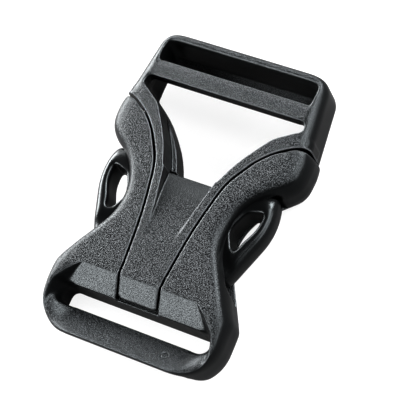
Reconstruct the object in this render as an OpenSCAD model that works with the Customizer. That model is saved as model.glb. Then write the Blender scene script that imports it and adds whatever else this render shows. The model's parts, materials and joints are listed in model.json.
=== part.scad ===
// Side release buckle for 25 mm webbing, fastened. Two plastic mouldings:
// a male clip with an adjuster frame, a tongue and two looped release tabs, and a
// female body with two front wings, side windows and a webbing loop.
// Millimetres. X is the width, Y the length (male end at +Y), Z the thickness.
// The origin is the middle of the footprint, on the back face.

/* [Size] */
// Thickness from the back face to the front face
thickness = 9.5; // [9.2:0.1:10.2]
// Width of the webbing slot in the fixed loop
slot_w = 27.6; // [26.8:0.2:27.8]
// Gap between the two mouldings
gap = 0.6; // [0.5:0.05:0.65]

/* [Female body] */
// Thickness of the front wings
wing_t = 1.9; // [1.7:0.1:2.1]
// Thickness of the back plate
back_t = 2.0; // [1.8:0.1:2.2]
// Rounding of the front edge of the wings and the loop
body_round = 1.5; // [1.3:0.1:1.6]
// How far the flat slope at the slot drops
facet_drop = 3.3; // [3:0.1:3.4]

/* [Male clip] */
// Thickness of the front layer, with the arms and the tongue
tongue_t = 4.1; // [3.9:0.1:4.4]
// Rounding of the front edge of the adjuster frame
frame_round = 1.6; // [1.4:0.1:1.7]
// Thickness of the middle bar of the adjuster
bar_t = 2.5; // [2.2:0.1:2.8]
// Depth of the hollow at the top end of the tongue
ramp_drop = 3.1; // [2.8:0.1:3.2]
// Play between a release tab and the walls in front of and behind it
tab_play = 0.2; // [0.15:0.05:0.3]

// Which piece to draw

/* [Hidden] */
loop_y = -26.2;       // outer end of the webbing loop
top_y = 28;           // outer end of the adjuster frame
mid_y = (loop_y + top_y) / 2;
slot_top_y = -18.05;  // body wall that faces the webbing slot
slot_bar_y = -21.2;   // slot side of the loop's bar
facet_y = -14.6;      // where the flat slope starts
lip_z = thickness - 2.2;      // height of the loop's front lip
scoop_z = thickness - 5.3;    // lower edge of the scooped bar face
arch_z = thickness - 3.5;     // top of the hollow behind the bar
ceiling_z = thickness - wing_t;
tongue_z = thickness - tongue_t;
bar_z = thickness - 0.15 - bar_t;
tab_z = back_t + tab_play;
tab_t = ceiling_z - tab_play - tab_z;
arc_step = 6;         // degrees for each step of a rounded corner
far = 40;

// Outlines are rows of corners [x, y, corner radius]. Those with two mirrored
// halves list the right half, from the loop end to the adjuster end. A fourth
// column is the share of the back rounding that the corner takes.
body_rows = [
  [16.4, loop_y, 6.9, 0.3],    // corner of the webbing loop
  [16.4, -15.3, 1.7, 0.45],    // widest point below the windows
  [7.4, 0.27, 9.5, 0.7],       // finger waist
  [17.8, 9, 4.5, 1],           // lower end of the shoulder
  [18, 13, 8, 1],              // crown of the shoulder
  [17.1, 18.4, 1.7, 0.8],      // past the mouth
];
gap_rows = [
  [3.72, -17.9, 0.9],    // end of the tongue, at the slot
  [3.68, -14.6, 40],
  [4.65, -3.75, 60],
  [6.5, 5.4, 14],        // where an arm leaves the tongue
  [10.65, 12.2, 14],
  [15.65, 15.1, 6],      // shoulder end of an arm
  [24, 15.45, 0],
  [24, far, 0],
];
frame_rows = [
  [22.2, -24, 0],
  [15.4, top_y, 2.9],    // outer corner of the adjuster frame
];
opening_rows = [
  [4.95, 5, 0.3],        // end of the tongue
  [6.8, 9.3, 20],
  [10.7, 14.9, 6],
  [14.8, 17.6, 1],
  [14.8, 19.4, 1.2],     // middle bar
];
lower_opening_rows = [
  [4.1, 5, 0.3],
  [5.8, 9.35, 20],
  [10.9, 15.1, 20],
  [15.05, 18, 0.8],
  [15.05, 23.2, 0.6],
];
rib_rows = [
  [2.5, -7.3, 0.3],      // where the ribs run out on the tongue
  [3.35, -1.5, 10],
  [5.1, 6.4, 0],
];
cavity_rows = [
  [10.4, -11.7, 1.2],
  [11.8, 6.9, 0],
  [13.9, 12.6, 2],
  [14.2, 19, 0],
];
// Front edge and bar edge of the scooped loop, and the slot through it
lip_rows = [
  [15.2, loop_y + 0.45, 4.2],
  [15.1, -21.4, 0],
  [14.35, slot_top_y - 0.04, 0.4],
];
scoop_rows = [
  [13.9, slot_bar_y + 0.03, 3.2],
  [13.85, -19.4, 0],
  [13.7, slot_top_y - 0.04, 0.4],
];
slot_rows = [
  [slot_w / 2, slot_bar_y, 0.8],
  [slot_w / 2, slot_top_y, 1.2],
];
// Side view [height, outer wall] of the inclined slot below the outer bar
adjuster_levels = [
  [-0.5, 23.7],
  [3.4, 25.8],
  [thickness - 1, 26.3],
  [thickness - 0.45, 26.5],
  [thickness - 0.1, 26.9],
  [thickness + 0.4, 27.8],
];
// One release tab on the right, all the way round
tab_rows = [
  [10.4, -9.5, 0.9],     // tip
  [12.5, -9.5, 0.9],
  [16.35, 1.6, 12],      // pressing face
  [15.1, 6.5, 0.8],      // catch
  [11.4, 6.5, 0.3],
  [12.9, 13.4, 0.7],     // root in the arm
  [9.9, 12, 0.7],
  [8.7, 5.5, 5],
  [8, -1, 8],
];
hole_rows = [
  [11.7, -5.1, 0.7],
  [14.35, 0.2, 6],
  [14.45, 3.4, 0.7],
  [11.2, 2.4, 1.6],
  [9.7, -1.2, 1.6],
];

// Direction of a vector, and the outward side of a direction on a loop
function unit(v) = v / norm(v);
function outward(d) = [d.y, -d.x];
function turned(d, a) = [d.x * cos(a) - d.y * sin(a), d.x * sin(a) + d.y * cos(a)];
function xy(row) = [row[0], row[1]];

// Points of one rounded corner: place, outward direction and back share
function corner(before, at, after, r, share, fixed) =
  let (u = unit(at - before), v = unit(after - at),
    a = atan2(u.x * v.y - u.y * v.x, u.x * v.x + u.y * v.y),
    side = a > 0 ? 1 : -1,
    start = at - u * r * tan(abs(a) / 2),
    steps = fixed > 0 ? fixed : max(1, ceil(abs(a) / arc_step)))
  r == 0
    ? [concat(at, (outward(u) + outward(v)) / (1 + outward(u) * outward(v)), share)]
    : [for (k = [0:steps]) let (n = outward(turned(u, a * k / steps)))
        concat(start + side * r * (n - outward(u)), n, share)];

// Outlines that are joined to each other get a fixed number of steps a corner
function loop(rows, fixed = 0) = let (n = len(rows))
  [for (i = [0:n - 1]) let (row = rows[i])
    each corner(xy(rows[(i + n - 1) % n]), xy(row), xy(rows[(i + 1) % n]), row[2],
      is_undef(row[3]) ? 1 : row[3], fixed)];

function mirrored(row) = concat(-row[0], [for (k = [1:len(row) - 1]) row[k]]);

function both(rows) = concat(rows, [for (i = [len(rows) - 1:-1:0]) mirrored(rows[i])]);

function ring(points, inset, shared = 0) =
  [for (p = points) let (d = inset + shared * p[4]) [p[0] - p[2] * d, p[1] - p[3] * d]];

// Flat shape of an outline, moved inwards by an inset
module flat(rows, inset = 0) {
  polygon(ring(loop(rows), inset));
}

// Prism of an outline between two heights
module prism(rows, z0, z1, inset = 0) {
  translate([0, 0, z0]) linear_extrude(z1 - z0) flat(rows, inset);
}

// Skin over rings of equal length, each at its height
module skin(rings, heights) {
  n = len(rings[0]);
  m = len(rings);
  points = [for (k = [0:m - 1]) for (p = rings[k]) [p.x, p.y, heights[k]]];
  sides = [for (k = [0:m - 2]) for (i = [0:n - 1])
    let (a = k * n + i, b = k * n + (i + 1) % n)
    each [[a, a + n, b + n], [a, b + n, b]]];
  polyhedron(points,
    concat([[for (i = [0:n - 1]) i]], sides, [[for (i = [n - 1:-1:0]) (m - 1) * n + i]]));
}

// Slab of an outline with rounded edges, each an [inset, height]
module rounded_slab(rows, z0, z1, back, front) {
  points = loop(rows);
  backs = [for (a = [90, 67, 45, 22, 0]) [z0 + back[1] * (1 - sin(a)), 0, back[0] * (1 - cos(a))]];
  fronts = [for (a = [0, 22, 45, 67, 90])
    [z1 - front[1] * (1 - sin(a)), front[0] * (1 - cos(a)), 0]];
  levels = concat(backs, fronts);
  skin([for (l = levels) ring(points, l[1], l[2])], [for (l = levels) l[0]]);
}

// Straight-sided cut from one outline up to another, and on to the open air
module tapered(rows0, z0, rows1, z1) {
  skin([ring(loop(rows0, 12), 0), ring(loop(rows1, 12), 0), ring(loop(rows1, 12), 0)],
    [z0, z1, thickness + 1]);
}

// Prism along X of a side view given as [y, z] points
module side_prism(points, half_w) {
  translate([-half_w, 0, 0]) rotate([90, 0, 90]) linear_extrude(2 * half_w) polygon(points);
}

// Flat slope from the front face down to the webbing slot
module facet_cut() {
  hull() for (side = [-1, 1]) {
    translate([side * 10.5, facet_y, thickness]) cube(0.01);
    translate([side * 13.3, slot_top_y - 0.1, thickness - facet_drop - 0.1]) cube(0.01);
    translate([side * 11.2, facet_y, thickness + 1]) cube(0.01);
    translate([side * 14.6, slot_top_y - 0.1, thickness + 1]) cube(0.01);
  }
}

// Front surface of the loop, which falls slightly towards the lip
module loop_slope_cut() {
  side_prism([[-15, thickness], [-20, thickness - 0.7], [loop_y - 1, lip_z - 0.2],
    [loop_y - 1, thickness + 1], [-15, thickness + 1]], 20);
}

// Side windows: in a side view they end in a slanted corner above the back plate
module window_cut() {
  side_prism([[-11.73, back_t + 0.03], [6.93, back_t + 0.03], [6.93, ceiling_z - 0.03],
    [-9.8, ceiling_z - 0.03], [-10.8, ceiling_z - 1.6]], 20);
}

// Arched hollow behind the bar of the loop, where the webbing turns
module arch_cut() {
  intersection() {
    side_prism([[loop_y - 1, -1], [loop_y - 1, arch_z + 0.4], [loop_y + 0.3, arch_z - 0.3],
      [slot_bar_y + 0.4, 2], [slot_bar_y + 0.4, -1]], 20);
    translate([0, slot_bar_y + 1, 0]) rotate([90, 0, 0]) linear_extrude(8)
      flat([[14.7, -1, 0], [11.3, arch_z, 2.5], [-11.3, arch_z, 2.5], [-14.7, -1, 0]]);
  }
}

// The region between the two gap curves, and all that lies beyond the mouth
module gap_prism(z0, z1, inset) {
  prism(both(gap_rows), z0, z1, inset);
}

// Narrow strip along both gap curves where the back plate laps under the arms
module lap_strip(z0, z1, play) {
  translate([0, 0, z0]) linear_extrude(z1 - z0) intersection() {
    difference() {
      flat(both(gap_rows), -gap);
      flat(both(gap_rows), 0.8 + play);
    }
    translate([-15.9 - play, 4]) square([31.8 + 2 * play, far]);
  }
}

module female_body() {
  // a smooth shell, rounded on every side, at its full thickness
  color("dimgray") translate([0, -mid_y, 0]) resize([0, 0, thickness]) difference() {
    rounded_slab(both(body_rows), 0, thickness, [1.7, 3], [body_round, 3.5]);
    // channel and end notch for the tongue
    gap_prism(tongue_z - 0.25, thickness + 1, -gap / 2);
    translate([0, 0, tongue_z - 0.25]) linear_extrude(thickness)
      translate([-3.72 - gap / 2, slot_top_y - 1]) square([7.44 + gap, 4]);
    // mouth for the arms and the adjuster frame
    difference() {
      translate([0, 0, -1]) linear_extrude(thickness + 2) intersection() {
        flat(both(gap_rows), 0.02 - gap / 2);
        translate([-far, 5.3]) square([2 * far, far]);
      }
      lap_strip(-2, back_t, 0);
    }
    // room for the prongs, open at both sides below the shoulders
    prism(both(cavity_rows), back_t, ceiling_z);
    difference() {
      window_cut();
      translate([-9, -far, -1]) cube([18, 2 * far, far]);
    }
    facet_cut();
    loop_slope_cut();
    // webbing slot with a scooped bar
    tapered(both(scoop_rows), scoop_z, both(lip_rows), lip_z);
    prism(both(slot_rows), -1, thickness - 2);
    arch_cut();
  }
}

// One looped release tab with its neck, on the right
module release_tab() {
  difference() {
    rounded_slab(tab_rows, tab_z, tab_z + tab_t, [1.1, tab_t / 2], [0.8, 1.2]);
    prism(hole_rows, tab_z - 1, tab_z + tab_t + 1);
  }
}

module male_clip() {
  color("dimgray") translate([0, -mid_y, 0]) resize([0, 0, thickness]) union() {
    difference() {
      intersection() {
        rounded_slab(both(frame_rows), 0, thickness, [1.4, 2.2], [frame_round, frame_round]);
        gap_prism(-1, thickness + 1, gap / 2);
      }
      // room for the back plate, which laps under the arms
      lap_strip(-1, back_t + 0.3, 0.4);
      // behind the tongue there is only the front layer
      translate([-far, -far, -1]) cube([2 * far, far + 5.8, tongue_z + 1]);
      // opening between the tongue and the middle bar
      prism(both(opening_rows), tongue_z - 1, thickness + 1);
      prism(both(lower_opening_rows), -1, tongue_z);
      prism([[-14.9, 18, 0], [14.9, 18, 0], [14.9, 23.26, 0.6], [-14.9, 23.26, 0.6]],
        tongue_z - 1, bar_z);
      // front of the middle bar, which falls away towards the inclined slot
      side_prism([[19, bar_z + bar_t], [21.4, bar_z + bar_t], [22.7, bar_z + bar_t - 0.43],
        [22.7, thickness + 1], [19, thickness + 1]], 14.25);
      // inclined webbing slot below the outer bar
      skin([for (l = adjuster_levels) ring(loop(both([[14.2, 22.4, 0.8], [14.2, l[1], 1.2]])), 0)],
        [for (l = adjuster_levels) l[0]]);
      // hollow at the top end of the tongue, between two ribs
      difference() {
        prism(both(rib_rows), tongue_z + 0.5, thickness + 1);
        translate([0, -7.3, thickness - 0.04 - 12.5 * 12.5 / (2 * ramp_drop)])
          rotate([0, 90, 0])
            cylinder(h = 2 * far, r = 12.5 * 12.5 / (2 * ramp_drop), center = true, $fn = 120);
      }
      facet_cut();
    }
    for (m = [0, 1]) mirror([m, 0, 0]) release_tab();
  }
}

male_clip();
female_body();
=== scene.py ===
# %% [markdown]
# # A side release buckle, dressed for a studio picture
# The buckle is two black plastic mouldings, clipped together. The CAD model gives both
# as exact solids in one frame, in metres, so this lesson starts by loading them and
# keeps every piece where the frame has it. Nothing on the buckle repeats or follows a
# path, so no step needs Geometry Nodes: the work lies in its roundings, its grain and
# its light.

# %% Load the frame
import json
import math

import bmesh
import bpy
import numpy as np
from mathutils import Matrix, Vector

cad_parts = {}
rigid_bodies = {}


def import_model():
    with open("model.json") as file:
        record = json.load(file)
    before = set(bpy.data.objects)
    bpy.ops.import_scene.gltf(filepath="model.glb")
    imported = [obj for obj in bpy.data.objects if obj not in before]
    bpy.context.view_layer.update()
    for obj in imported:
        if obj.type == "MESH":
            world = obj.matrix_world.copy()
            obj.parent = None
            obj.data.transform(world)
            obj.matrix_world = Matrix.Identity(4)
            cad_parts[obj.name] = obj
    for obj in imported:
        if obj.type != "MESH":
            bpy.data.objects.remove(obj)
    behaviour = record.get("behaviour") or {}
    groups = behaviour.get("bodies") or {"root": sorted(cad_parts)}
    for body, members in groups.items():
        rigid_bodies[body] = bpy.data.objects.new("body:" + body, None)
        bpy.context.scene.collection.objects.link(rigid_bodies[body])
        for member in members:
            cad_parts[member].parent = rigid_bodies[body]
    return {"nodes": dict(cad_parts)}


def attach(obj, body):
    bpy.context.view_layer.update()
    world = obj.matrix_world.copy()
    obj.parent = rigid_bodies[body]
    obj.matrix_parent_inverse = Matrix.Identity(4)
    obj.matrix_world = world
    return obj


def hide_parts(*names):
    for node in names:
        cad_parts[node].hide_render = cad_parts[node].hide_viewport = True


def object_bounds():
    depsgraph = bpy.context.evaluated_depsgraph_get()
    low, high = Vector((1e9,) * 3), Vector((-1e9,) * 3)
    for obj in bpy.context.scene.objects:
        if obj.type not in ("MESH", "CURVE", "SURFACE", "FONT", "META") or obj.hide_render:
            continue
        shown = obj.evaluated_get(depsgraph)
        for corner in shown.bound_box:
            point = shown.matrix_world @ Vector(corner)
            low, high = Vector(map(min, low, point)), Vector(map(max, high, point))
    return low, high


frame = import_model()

MM = 0.001
cad_box = [list(corner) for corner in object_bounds()]
print("CAD box in mm:", [[round(v / MM, 2) for v in corner] for corner in cad_box])

# %% [markdown]
# ## The camera
# The picture is a close view from the front, turned in its own plane, from slightly
# below and right of the buckle. A long lens keeps the perspective as weak as it is in
# the picture. Three angles turn the buckle's axes into the camera's, so the camera's
# own rotation is the transpose of that matrix.

# %% Place the camera
focal_px, image_px = 1800, 401
sensor_mm, near_clip_mm = 36, 10
turn_in_plane, tip, swing = -0.43372, -0.24290, -0.41319
eye_mm = (116.46, -69.18, 266.55)


def axis_turn(axis, angle):
    return Matrix.Rotation(angle, 3, axis)


view = axis_turn("Z", turn_in_plane) @ axis_turn("X", tip) @ axis_turn("Y", swing)
camera_data = bpy.data.cameras.new("camera")
camera_data.sensor_width = sensor_mm
camera_data.lens = focal_px / image_px * sensor_mm
camera_data.clip_start = near_clip_mm * MM
camera = bpy.data.objects.new("camera", camera_data)
bpy.context.scene.collection.objects.link(camera)
camera.matrix_world = Matrix.Translation(Vector(eye_mm) * MM) @ view.transposed().to_4x4()
bpy.context.scene.camera = camera
print("lens in mm:", round(camera_data.lens, 1))

# %% [markdown]
# ## The floor
# The buckle lies on its back on a plain pale floor. The picture's floor is nearly white,
# but a white floor all round would brighten the black sides that mirror it. So the paint
# tells the camera's rays from all others. The camera sees an even glow. The plastic sees
# a dim floor, which is bright only left of the buckle, where its outer edges mirror it.

# %% A paint that glows to the camera
floor_grey = (0.1, 0.1, 0.101)
camera_glow, left_glow, dim_glow = 0.86, 1.5, 0.03
left_glow_to_mm, dim_glow_from_mm = -60, -22


def fill(node, values):
    """Sets the node's own sockets, given as a name and a value for each."""
    for socket, value in values.items():
        node.inputs[socket].default_value = value


def glowing_paint(name):
    paint = bpy.data.materials.new(name)
    paint.use_nodes = True
    tree = paint.node_tree
    new, link = tree.nodes.new, tree.links.new
    shader = tree.nodes["Principled BSDF"]
    fill(shader, {"Base Color": (*floor_grey, 1), "Roughness": 0.9,
                  "Specular IOR Level": 0.1, "Emission Color": (1, 1, 1, 1)})
    coords, axes = new("ShaderNodeTexCoord"), new("ShaderNodeSeparateXYZ")
    towards_left, rays = new("ShaderNodeMapRange"), new("ShaderNodeLightPath")
    glow = new("ShaderNodeMix")
    fill(towards_left, {"From Min": left_glow_to_mm * MM, "From Max": dim_glow_from_mm * MM,
                        "To Min": left_glow, "To Max": dim_glow})
    fill(glow, {"B": camera_glow})
    link(coords.outputs["Object"], axes.inputs["Vector"])
    link(axes.outputs["X"], towards_left.inputs["Value"])
    link(rays.outputs["Is Camera Ray"], glow.inputs["Factor"])
    link(towards_left.outputs["Result"], glow.inputs["A"])
    link(glow.outputs["Result"], shader.inputs["Emission Strength"])
    return paint


floor_paint = glowing_paint("pale_floor")
print("paint:", floor_paint.name, "nodes:", len(floor_paint.node_tree.nodes))

# %% Make the floor
floor_half_m = 1.5


def square_mesh(name, half_side):
    grid = bmesh.new()
    bmesh.ops.create_grid(grid, x_segments=1, y_segments=1, size=half_side)
    mesh = bpy.data.meshes.new(name)
    grid.to_mesh(mesh)
    grid.free()
    return mesh


floor = bpy.data.objects.new("floor", square_mesh("floor", floor_half_m))
floor.data.materials.append(floor_paint)
bpy.context.scene.collection.objects.link(floor)
print("floor side in m:", 2 * floor_half_m)

# %% [markdown]
# ## The lights
# Black plastic shows mostly what it reflects, so each soft light stands where one family
# of faces mirrors it: one low on the left for the outer edges, one beyond the webbing
# slot for the flat slope there, two beyond the adjuster frame for its middle bar and the
# rounded strip along the waist, and two on the right for the shoulders and the tabs.
# The flat front faces mirror none of them straight. They only catch what the grain
# scatters, which is why it shows as fine specks. An area light's power is spread over
# its face and a half circle, so a brightness is turned into watts.

# %% Set up the surroundings and the soft lights
surroundings = 0.06
light_distance_m = 0.8
# Name, direction from the buckle, brightness, width and height in metres
soft_lights = (
    ("light_left", (-0.96, 0.27, 0.27), 44, 0.7, 0.4),
    ("light_slot_end", (-0.4, -0.9, 0.3), 33, 0.6, 0.4),
    ("light_frame_end", (-0.45, 0.85, 0.38), 9, 0.5, 0.3),
    ("light_frame_end_right", (0.35, 0.78, 0.5), 55, 0.45, 0.3),
    ("light_right_high", (0.58, 0.33, 0.75), 20, 0.45, 0.4),
    ("light_right_low", (0.93, 0.15, 0.3), 15, 0.5, 0.3),
)
picture_gamma = 0.8


def softbox(name, toward, brightness, width, height):
    lamp = bpy.data.lights.new(name, "AREA")
    lamp.shape = "RECTANGLE"
    lamp.size, lamp.size_y = width, height
    lamp.energy = brightness * math.pi * width * height
    obj = bpy.data.objects.new(name, lamp)
    bpy.context.scene.collection.objects.link(obj)
    away = Vector(toward).normalized()
    turn = (-away).to_track_quat("-Z", "Y")
    obj.matrix_world = Matrix.Translation(away * light_distance_m) @ turn.to_matrix().to_4x4()


for row in soft_lights:
    softbox(*row)
world = bpy.data.worlds.new("studio")
bpy.context.scene.world = world
world.use_nodes = True
fill(world.node_tree.nodes["Background"], {"Color": (1, 1, 1, 1), "Strength": surroundings})
bpy.context.scene.view_settings.view_transform = "Standard"
bpy.context.scene.view_settings.gamma = picture_gamma
print("lights:", len(soft_lights))

# %% [markdown]
# ## Tools for the points of a mesh
# A fine mesh has some hundred thousand points, far too many for a loop in Python, so
# they are read into arrays, moved all at once and written back.

# %% Read and write points
def read_places(mesh):
    flat = np.empty(len(mesh.vertices) * 3)
    mesh.vertices.foreach_get("co", flat)
    return flat.reshape(-1, 3)


def write_places(mesh, places):
    mesh.vertices.foreach_set("co", places.ravel())
    mesh.update()


def read_normals(mesh):
    flat = np.empty(len(mesh.vertices) * 3)
    mesh.vertices.foreach_get("normal", flat)
    return flat.reshape(-1, 3)


def read_edges(mesh):
    flat = np.empty(len(mesh.edges) * 2, int)
    mesh.edges.foreach_get("vertices", flat)
    return flat.reshape(-1, 2).T


floor_corners = read_places(floor.data)
print("read back from the floor:", len(floor_corners), "points,", read_edges(floor.data).shape[1],
      "edges")

# %% [markdown]
# ## Places on the buckle
# A place is told by its coordinates in mm: x counts from the middle line to either side,
# because the buckle is the same on both, y runs along it from its middle, which lies a
# little off the frame's origin, and z is the height above the floor. Rise and fall turn
# a coordinate into a soft mask, so that no change of the shape starts with a step.

# %% Measure places and mask them
middle_y_mm = -0.9


def in_mm(piece):
    places = read_places(piece.data) / MM
    return np.abs(places[:, 0]), places[:, 1] - middle_y_mm, places[:, 2]


def side_of(piece):
    """-1 for the points left of the middle line, 1 for those right of it."""
    return np.sign(read_places(piece.data)[:, 0])


def rise(values, low, high):
    """0 up to low, 1 from high on, and a smooth step between the two."""
    share = np.clip((values - low) / (high - low), 0, 1)
    return share * share * (3 - 2 * share)


def fall(values, low, high):
    return 1 - rise(values, low, high)


print("rise at 0, 1 and 2 between 0 and 2:", rise(np.array([0, 1, 2]), 0, 2))

# %% [markdown]
# ## A copy of each CAD node
# A node of the frame is a set of loose triangles, and it has to stay as it is. So each
# moulding starts as a copy, whose points are merged into one closed skin.

# %% Merge a copy of each CAD node
merge_distance_mm = 0.0002


def merged_copy(node, name):
    shell = bmesh.new()
    shell.from_mesh(frame["nodes"][node].data)
    bmesh.ops.remove_doubles(shell, verts=shell.verts, dist=merge_distance_mm * MM)
    mesh = bpy.data.meshes.new(name)
    shell.to_mesh(mesh)
    shell.free()
    piece = bpy.data.objects.new(name, mesh)
    bpy.context.scene.collection.objects.link(piece)
    return piece


clip = merged_copy("male_clip", "clip_moulding")
body = merged_copy("female_body", "body_moulding")
for piece in (clip, body):
    print(piece.name, "points:", len(piece.data.vertices))

# %% [markdown]
# ## From an exact solid to a moulding
# A real moulding has no knife edge: every edge is rounded by a tenth or two of a
# millimetre, and that thin rounding is what catches the light along the gaps. The
# edges could be bevelled one by one, but where two rounded shapes cross, a bevel
# breaks up. Here the solid is remeshed on a fine grid and relaxed a few times, which
# rounds every edge alike. Relaxing reads and moves only the points that have a weight,
# and their neighbours, so a small place takes little time.

# %% Round every edge
grid_mm = 0.1
edge_passes = 10


def apply_modifiers(piece):
    graph = bpy.context.evaluated_depsgraph_get()
    mesh = bpy.data.meshes.new_from_object(piece.evaluated_get(graph))
    piece.modifiers.clear()
    old, piece.data = piece.data, mesh
    mesh.name = piece.name
    bpy.data.meshes.remove(old)


def relax(piece, weight, passes):
    """Moves each point half way to the middle of its neighbours, times its weight."""
    everything, (a, b) = read_places(piece.data), read_edges(piece.data)
    moving = weight > 0
    near = moving[a] | moving[b]
    used, ends = np.unique(np.concatenate([a[near], b[near]]), return_inverse=True)
    a, b = ends.reshape(2, -1)
    place, count = everything[used], len(used)
    neighbours = np.bincount(a, minlength=count) + np.bincount(b, minlength=count)
    share = (0.5 * weight[used] / neighbours)[:, None]
    for _ in range(passes):
        total = np.stack([np.bincount(a, place[b, k], count) + np.bincount(b, place[a, k], count)
                          for k in range(3)], axis=1)
        place += share * (total - neighbours[:, None] * place)
    everything[used] = place
    write_places(piece.data, everything)


for piece in (clip, body):
    step = piece.modifiers.new("fine grid", "REMESH")
    step.mode = "VOXEL"
    step.voxel_size = grid_mm * MM
    apply_modifiers(piece)
    relax(piece, np.ones(len(piece.data.vertices)), edge_passes)
    print(piece.name, "points on the fine grid:", len(piece.data.vertices))

# %% [markdown]
# ## The crown of the outer sides
# The front faces of the real mouldings aren't flat up to their outer sides: they bend
# down over the last few millimetres, which gives the soft light strips along the waist
# and the shoulders. Relaxing could only round the edge itself, so the front is lowered
# instead, by the square of how far a point lies within the strip. The outer side is
# found for every half millimetre of the length.

# %% Lower the front faces towards the outer sides
row_mm = 0.5
waist_width, shoulder_width, loop_width = 2.5, 4.1, 3.1
waist_drop, shoulder_drop = 0.85, 0.93
rail_width, tab_width = 3, 1.9
rail_drop, tab_drop = 0.75, 0.6
body_crown_from_z, clip_crown_from_z = 4, 3.5
full_crown_above, side_above, share_limit = 4, 1.5, 1.2


def crown(piece, width, drop, from_z):
    """Lowers the points above from_z by up to drop, within width of the outer side."""
    x, y, z = in_mm(piece)
    first_row = int(round(y.min() / row_mm))
    row = np.round(y / row_mm).astype(int) - first_row
    reach = np.zeros(row.max() + 1)
    np.maximum.at(reach, row, x * (z > from_z + side_above))
    reach = np.interp(y, (np.arange(len(reach)) + first_row) * row_mm, reach)
    share = np.clip((width - (reach - x)) / width, 0, share_limit) ** 2
    share *= rise(z, from_z, from_z + full_crown_above)
    place = read_places(piece.data)
    place[:, 2] -= drop * share * MM
    write_places(piece.data, place)
    print(piece.name, "lowered by up to mm:", round(float((drop * share).max()), 2))


x, y, z = in_mm(body)
near_shoulder, near_loop = rise(y, 3, 7), fall(y, -15, -11)
width = (waist_width + (shoulder_width - waist_width) * near_shoulder
         + (loop_width - waist_width) * near_loop)
crown(body, width, waist_drop + (shoulder_drop - waist_drop) * near_shoulder, body_crown_from_z)

x, y, z = in_mm(clip)
on_tabs = fall(y, 5, 7) * rise(x, 8, 9)
crown(clip, rail_width + (tab_width - rail_width) * on_tabs,
      rail_drop * rise(y, 14, 16.5) + tab_drop * on_tabs, clip_crown_from_z)

# %% [markdown]
# ## The release tabs and the adjuster frame
# A thumb presses the looped tabs, so they are the roundest part of the clip: almost a
# round rod, bent into a loop. Their outer side stands a little higher than in the solid
# and the hole is a little narrower. The side rails and the outer bar of the frame are
# rounder than the rest too. Each is relaxed further, with a weight that fades out where
# the place ends.

# %% Shape the clip's rounder places
tab_raise_mm, hole_narrower_mm = 0.5, 0.5
tab_passes, rail_passes, outer_bar_passes = 130, 100, 120
wing_edge_y = (-15.3, -5, 0.3, 4, 7)      # along the buckle, and how far out the wing
wing_edge_x = (16.4, 10.4, 7.5, 9, 13)    # above the tab reaches there

x, y, z = in_mm(clip)
place, normal, side = read_places(clip.data), read_normals(clip.data), side_of(clip)
past_wing = rise(x - np.interp(y, wing_edge_y, wing_edge_x), 0.4, 2) * fall(y, 4.5, 6) * (x > 7)
hole_wall = rise(-normal[:, 0] * side, 0.2, 0.6) * rise(x, 11.8, 12.8)
hole_wall *= rise(y, -5, -2) * fall(y, 2.6, 3.8)
place[:, 0] -= hole_narrower_mm * MM * hole_wall * side
place[:, 2] += tab_raise_mm * MM * past_wing * rise(z, 3.5, 6.5)
write_places(clip.data, place)

tabs = rise(x, 7.5, 8.5) * fall(y, 6.5, 8.5)
rails = rise(y, 16.5, 19) * rise(x, 13, 14.5) * rise(z, 1, 5)
outer_bar = rise(y, 23.8, 25) * fall(x, 13, 14.5) * rise(z, 1, 5)
relax(clip, tabs, tab_passes)
relax(clip, rails, rail_passes)
relax(clip, outer_bar, outer_bar_passes)
print("points on the tabs:", int((tabs > 0.5).sum()))

# %% [markdown]
# ## The outer edges of the body
# The body's outer edges are found by where the surface faces, not by coordinates,
# because they wind along the waist: every point high up that looks outwards is chosen,
# the choice grows by some grid steps, and its border is blurred. The shoulders, the ends
# of the loop and its lip are told by their coordinates.

# %% Shape the body's rounder places
outer_edge_steps, border_steps = 12, 6
outer_edge_passes, end_passes, slot_end_passes = 90, 60, 150


def spread_out(mesh, chosen, steps):
    """Widens a choice of points by some grid steps, and gives it a soft border."""
    a, b = read_edges(mesh)
    count = len(mesh.vertices)
    for _ in range(steps):
        touched = np.bincount(a, chosen[b], count) + np.bincount(b, chosen[a], count)
        chosen = chosen | (touched > 0)
    soft = chosen.astype(float)
    neighbours = np.bincount(a, minlength=count) + np.bincount(b, minlength=count)
    for _ in range(border_steps):
        total = np.bincount(a, soft[b], count) + np.bincount(b, soft[a], count)
        soft = 0.5 * soft + 0.5 * total / neighbours
    return soft


x, y, z = in_mm(body)
outwards = read_normals(body.data)[:, 0] * side_of(body)
outer_edges = spread_out(body.data, (outwards > 0.4) & (z > 6.3) & (x > 6), outer_edge_steps)
relax(body, outer_edges * rise(z, 4, 6.5), outer_edge_passes)

shoulders = rise(x, 12, 14) * rise(y, 2, 5) * rise(z, 3.5, 5)
loop_ends = rise(x, 11.6, 13) * fall(y, -15, -13.5)
lip = fall(y, -25.8, -25.2)
relax(body, np.maximum(np.maximum(shoulders, loop_ends), lip), end_passes)
slot_ends = rise(x, 11.5, 13) * fall(x, 15.8, 16.6) * rise(z, 4, 5.5)
relax(body, slot_ends * rise(y, -22, -20.5) * fall(y, -15, -13.5), slot_end_passes)
print("points in the rounder edges of the body:", int((outer_edges > 0.5).sum()))

# %% [markdown]
# ## The ends of the scoop
# The scooped face of the loop runs out in a wide fillet at either end, which looks up
# and inwards and mirrors the light from the far side. Raising the corner of the scoop
# a little more towards the slot turns its surface that way.

# %% Raise the corners of the scoop
corner_lift_mm, corner_passes = 0.85, 100

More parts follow.
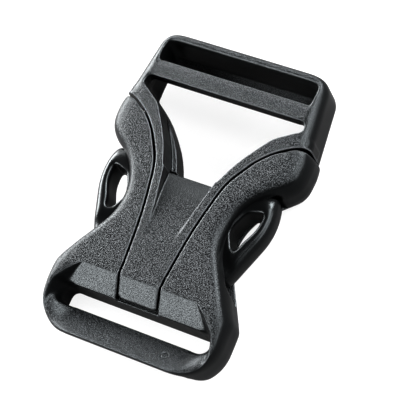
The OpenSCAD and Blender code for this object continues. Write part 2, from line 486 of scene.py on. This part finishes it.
x, y, z = in_mm(body)
place, normal = read_places(body.data), read_normals(body.data)
scoop = (y < -20.9) * (z < 8.6) * rise(normal[:, 2], 0.1, 0.4) * rise(z, 4, 4.6)
lift = corner_lift_mm * scoop * rise(x, 10.6, 13.4) * fall(x, 13.6, 15.2) * rise(y, -25, -21.4)
place[:, 2] += lift * MM
write_places(body.data, place)
corners = rise(x, 10.5, 12) * fall(x, 16.2, 17.4) * rise(y, -25.6, -24.6)
relax(body, corners * fall(y, -19.8, -18.4) * rise(z, 2.8, 4), corner_passes)
print("highest lift in mm:", round(float(lift.max()), 2))

# %% [markdown]
# ## The gap between the mouldings
# In front, the two mouldings are a dark hair line apart. The rounding of their edges
# has made that line wider, so the walls on both sides of it come a little closer. Only
# the front layer moves, above the back plate.

# %% Narrow the gap
arm_shift_mm, tongue_shift_mm = (0.17, -0.19), (0.12, 0)
wing_shift_mm, shoulder_shift_mm = (-0.08, 0), (0, 0.1)
tongue_half_width_mm = 8.6
across_share, along_share = 0.66, 0.75    # the way that the walls of the arms face


def come_closer(piece, facing, region, shift_mm):
    """Moves the walls that face the gap, sideways and lengthwise."""
    place, side = read_places(piece.data), side_of(piece)
    share = rise(facing, 0.2, 0.7) * region
    place[:, 0] += shift_mm[0] * MM * share * side
    place[:, 1] += shift_mm[1] * MM * share
    write_places(piece.data, place)
    print(piece.name, "points moved:", int((share > 0.5).sum()))


x, y, z = in_mm(clip)
normal, side = read_normals(clip.data), side_of(clip)
on_arms = rise(y, 6, 12)
front_layer = fall(y, 16.8, 17.4) * rise(z, 3, 4)
on_tongue = (1 - on_arms) * rise(y, -17.8, -17) * (x < tongue_half_width_mm)
outwards = normal[:, 0] * side
come_closer(clip, outwards * across_share - normal[:, 1] * along_share,
            front_layer * on_arms, arm_shift_mm)
come_closer(clip, outwards, front_layer * on_tongue, tongue_shift_mm)

x, y, z = in_mm(body)
normal, side = read_normals(body.data), side_of(body)
beside_tongue = fall(y, 4, 8) * rise(y, -17.8, -17) * rise(z, 5.6, 6.2)
shoulder_end = rise(x, 12, 13) * rise(y, 13.5, 14.2) * fall(y, 15.8, 16.4) * rise(z, 5, 6)
come_closer(body, -normal[:, 0] * side, beside_tongue * (x < tongue_half_width_mm),
            wing_shift_mm)
come_closer(body, normal[:, 1], shoulder_end, shoulder_shift_mm)

# %% [markdown]
# ## Thin out the flat places
# The fine grid has far more points than the flat faces need. Collapsing the edges that
# change the shape least keeps the roundings and drops the rest.

# %% Thin out both meshes
triangles_wanted = 180000

for piece in (clip, body):
    thin = piece.modifiers.new("thin out", "DECIMATE")
    thin.ratio = min(1, triangles_wanted / (2 * len(piece.data.polygons)))
    apply_modifiers(piece)
    piece.data.shade_smooth()
    piece.data.calc_loop_triangles()
    print(piece.name, "triangles:", len(piece.data.loop_triangles))

# %% [markdown]
# ## Where the mould left a grain
# The flat front faces carry the fine grain of a spark-eroded mould; the roundings and
# the walls are nearly smooth, and so are the tabs. The grain is stored on the mesh as a
# value from 0 to 1, worked out from where each point faces, and so is how strongly an
# edge sticks out, which places the edges' paler colour: partly wear, partly a painted highlight.

# %% Measure how sharply the surface bends
def bend_of(mesh):
    """How fast the surface turns away at each point, as a mean over its edges."""
    place, normal, (a, b) = read_places(mesh), read_normals(mesh), read_edges(mesh)
    along = place[b] - place[a]
    length = np.maximum(np.linalg.norm(along, axis=1), 1e-9)
    bend = ((normal[b] - normal[a]) * along).sum(axis=1) / length ** 2
    count = len(place)
    total = np.bincount(a, bend, count) + np.bincount(b, bend, count)
    edges_met = np.bincount(a, minlength=count) + np.bincount(b, minlength=count)
    return total / np.maximum(edges_met, 1)


bends = {piece: bend_of(piece.data) for piece in (clip, body)}
for piece, bend in bends.items():
    print(piece.name, "sharpest bend in 1 per mm:", round(float(bend.max() * MM), 1))

# %% Store grain and edge values on the mesh
front_z = cad_box[1][2] / MM
rail_grain, hollow_grain = 0.6, 0.5
sharp_from, sharp_to = 500, 2600          # bend in 1 per metre


def store(mesh, name, values):
    layer = mesh.attributes.new(name, "FLOAT", "POINT")
    layer.data.foreach_set("value", values.astype(np.float32))


for piece in (clip, body):
    x, y, z = in_mm(piece)
    facing_up = read_normals(piece.data)[:, 2]
    grain = rise(facing_up, 0.5, 0.85)
    if piece is clip:
        grain *= 1 - rise(x, 7.5, 8.5) * fall(y, 5, 7)
        grain *= 1 - (1 - rail_grain) * rise(x, 13.8, 14.6) * rise(y, 16, 17)
        in_hollow = rise(y, -7, 2) * (x < 6) * (z < front_z - 0.02) * (y < 6.5)
        grain *= 1 - (1 - hollow_grain) * in_hollow
        slot_slope = rise(facing_up, 0.3, 0.42) * (y > 22.3) * (z < 4.5)
        grain = np.maximum(grain, slot_slope)
    # The bend mask places the polish and the paler edge colour, which is partly wear and partly a
    # painted highlight.
    edge = rise(bends[piece], sharp_from, sharp_to)
    store(piece.data, "grain", grain)
    store(piece.data, "edge", edge)
    print(piece.name, "grain mean", round(float(grain.mean()), 2), "edge mean",
          round(float(edge.mean()), 3))

# %% [markdown]
# ## Shader groups
# Both effects of this finish are shader groups with named inputs, so that they can be
# read, and used, apart from it. The first is the moulded surface: the mould's grain
# breaks the gloss into fine specks, and handling has polished the edges; their paler
# colour is partly wear and partly a painted highlight along every sharp edge. The
# second is an ejector pin's mark, a faint ring. It is finer than the mesh, so it is a
# groove in the material: the distance from the middle of the mark, in plan, becomes 1
# on the ring and 0 elsewhere.

# %% Helpers for shader groups
def empty_group(name, inputs, outputs):
    """A shader group with its sockets, given as a name and a kind for each."""
    tree = bpy.data.node_groups.new(name, "ShaderNodeTree")
    for direction, sockets in (("INPUT", inputs), ("OUTPUT", outputs)):
        for socket, kind in sockets.items():
            tree.interface.new_socket(name=socket, in_out=direction,
                                      socket_type="NodeSocket" + kind)
    return tree, tree.nodes.new("NodeGroupInput").outputs, tree.nodes.new("NodeGroupOutput").inputs


def calculate(tree, operation, *values):
    """A Math node. Each value is a number or another node's output."""
    step = tree.nodes.new("ShaderNodeMath")
    step.operation = operation
    for socket, value in zip(step.inputs, values):
        if isinstance(value, (int, float)):
            socket.default_value = value
        else:
            tree.links.new(value, socket)
    return step.outputs["Value"]


def mix_colours(tree, share, first, second):
    step = tree.nodes.new("ShaderNodeMix")
    step.data_type = "RGBA"
    for socket, value in (("Factor", share), ("A", first), ("B", second)):
        tree.links.new(value, step.inputs[socket])
    return step.outputs["Result"]


def stored_value(tree, name):
    reader = tree.nodes.new("ShaderNodeAttribute")
    reader.attribute_name = name
    return reader.outputs["Fac"]


# %% The group of the moulded surface
speck_from, speck_to = 0.48, 0.7
smooth_roughness, grain_roughness, edge_polish = 0.29, 0.38, 0.1


def moulded_surface_group():
    tree, given, result = empty_group(
        "moulded_surface",
        {"Grain Scale": "Float", "Grain Depth": "Float", "Dark": "Color", "Light": "Color",
         "Worn Edge And Highlight": "Color"},
        {"Color": "Color", "Roughness": "Float", "Height": "Float"})
    new, link = tree.nodes.new, tree.links.new
    grain, edge = stored_value(tree, "grain"), stored_value(tree, "edge")
    coords, specks, spread = (new("ShaderNodeTexCoord"), new("ShaderNodeTexNoise"),
                              new("ShaderNodeMapRange"))
    fill(specks, {"Detail": 1, "Roughness": 0.6})
    fill(spread, {"From Min": speck_from, "From Max": speck_to})
    link(coords.outputs["Object"], specks.inputs["Vector"])
    link(given["Grain Scale"], specks.inputs["Scale"])
    link(specks.outputs["Fac"], spread.inputs["Value"])
    speck = calculate(tree, "MULTIPLY", spread.outputs["Result"], grain)
    link(calculate(tree, "MULTIPLY", speck, given["Grain Depth"]), result["Height"])
    tinted = mix_colours(tree, speck, given["Dark"], given["Light"])
    # Paler colour on sharp edges: partly wear, partly a painted highlight for the light lines
    # along the rounded edges.
    link(mix_colours(tree, edge, tinted, given["Worn Edge And Highlight"]), result["Color"])
    rough = calculate(tree, "MULTIPLY_ADD", grain, grain_roughness - smooth_roughness,
                      smooth_roughness)
    link(calculate(tree, "MULTIPLY_ADD", edge, -edge_polish, rough), result["Roughness"])
    return tree


moulded_surface = moulded_surface_group()
print(moulded_surface.name, "nodes:", len(moulded_surface.nodes))


# %% The group of the pin mark
def pin_mark_group():
    sizes = ("Across", "Along", "Radius", "Width", "Lowest", "Highest")
    tree, given, result = empty_group("pin_mark", {name: "Float" for name in sizes},
                                      {"Ring": "Float"})
    coords, axes = tree.nodes.new("ShaderNodeTexCoord"), tree.nodes.new("ShaderNodeSeparateXYZ")
    tree.links.new(coords.outputs["Object"], axes.inputs["Vector"])
    across = calculate(tree, "SUBTRACT", axes.outputs["X"], given["Across"])
    along = calculate(tree, "SUBTRACT", axes.outputs["Y"], given["Along"])
    squares = calculate(tree, "ADD", calculate(tree, "MULTIPLY", across, across),
                        calculate(tree, "MULTIPLY", along, along))
    off_ring = calculate(tree, "SUBTRACT", calculate(tree, "SQRT", squares), given["Radius"])
    share = calculate(tree, "DIVIDE", calculate(tree, "ABSOLUTE", off_ring), given["Width"])
    ring = calculate(tree, "MAXIMUM", calculate(tree, "SUBTRACT", 1, share), 0)
    above = calculate(tree, "GREATER_THAN", axes.outputs["Z"], given["Lowest"])
    below = calculate(tree, "LESS_THAN", axes.outputs["Z"], given["Highest"])
    in_layer = calculate(tree, "MULTIPLY", above, below)
    tree.links.new(calculate(tree, "MULTIPLY", ring, in_layer), result["Ring"])
    return tree


pin_mark = pin_mark_group()
print(pin_mark.name, "nodes:", len(pin_mark.nodes))

# %% [markdown]
# ## The black acetal
# Acetal is a satin black plastic. Both mouldings are the same black in the picture, so
# they share one material. The specks of the grain are a little paler than its pits, and
# the sharp edges paler still: partly wear, partly a painted highlight. The mark lies on
# the scooped face of the loop: its lowest and highest levels keep it off the back and
# the front.

# %% Sizes and colours of the finish
grain_scale, grain_depth, bump_mm = 6400, 1, 0.036
pit_black, speck_black = (0.001, 0.0011, 0.0012), (0.03, 0.032, 0.034)
# The edge grey is partly wear and partly a painted highlight along every sharp edge.
worn_and_highlit_edge_grey = (0.05, 0.053, 0.056)
gloss = {"IOR": 1.48, "Specular IOR Level": 0.22, "Specular Tint": (0.88, 0.96, 1, 1)}
mark_mm = {"Across": 7.87, "Along": -24.58, "Radius": 0.55, "Width": 0.22,
           "Lowest": 3, "Highest": 7.5}
mark_depth = 4                            # in depths of the grain
print("ring across in mm:", 2 * mark_mm["Radius"], "grain height in mm:", bump_mm)


# %% The material of both mouldings
def place_group(tree, group, values):
    node = tree.nodes.new("ShaderNodeGroup")
    node.node_tree = group
    fill(node, values)
    return node.outputs


def black_acetal():
    material = bpy.data.materials.new("black_acetal")
    material.use_nodes = True
    tree = material.node_tree
    link, shader = tree.links.new, tree.nodes["Principled BSDF"]
    fill(shader, gloss)
    surface = place_group(tree, moulded_surface, {
        "Grain Scale": grain_scale, "Grain Depth": grain_depth, "Dark": (*pit_black, 1),
        "Light": (*speck_black, 1), "Worn Edge And Highlight": (*worn_and_highlit_edge_grey, 1)})
    mark = place_group(tree, pin_mark, {name: size * MM for name, size in mark_mm.items()})
    bump = tree.nodes.new("ShaderNodeBump")
    fill(bump, {"Strength": 1, "Distance": bump_mm * MM})
    height = calculate(tree, "MULTIPLY_ADD", mark["Ring"], -mark_depth, surface["Height"])
    link(height, bump.inputs["Height"])
    link(bump.outputs["Normal"], shader.inputs["Normal"])
    link(surface["Color"], shader.inputs["Base Color"])
    link(surface["Roughness"], shader.inputs["Roughness"])
    return material


acetal = black_acetal()
for piece in (clip, body):
    piece.data.materials.clear()
    piece.data.materials.append(acetal)
print("material:", acetal.name)

# %% [markdown]
# ## Hand the pieces to the frame
# Each moulding stands for its CAD node and rides on the one body of the buckle.

# %% Ride, replace and finish
for piece, node in ((clip, "male_clip"), (body, "female_body")):
    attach(piece, "root")
    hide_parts(node)
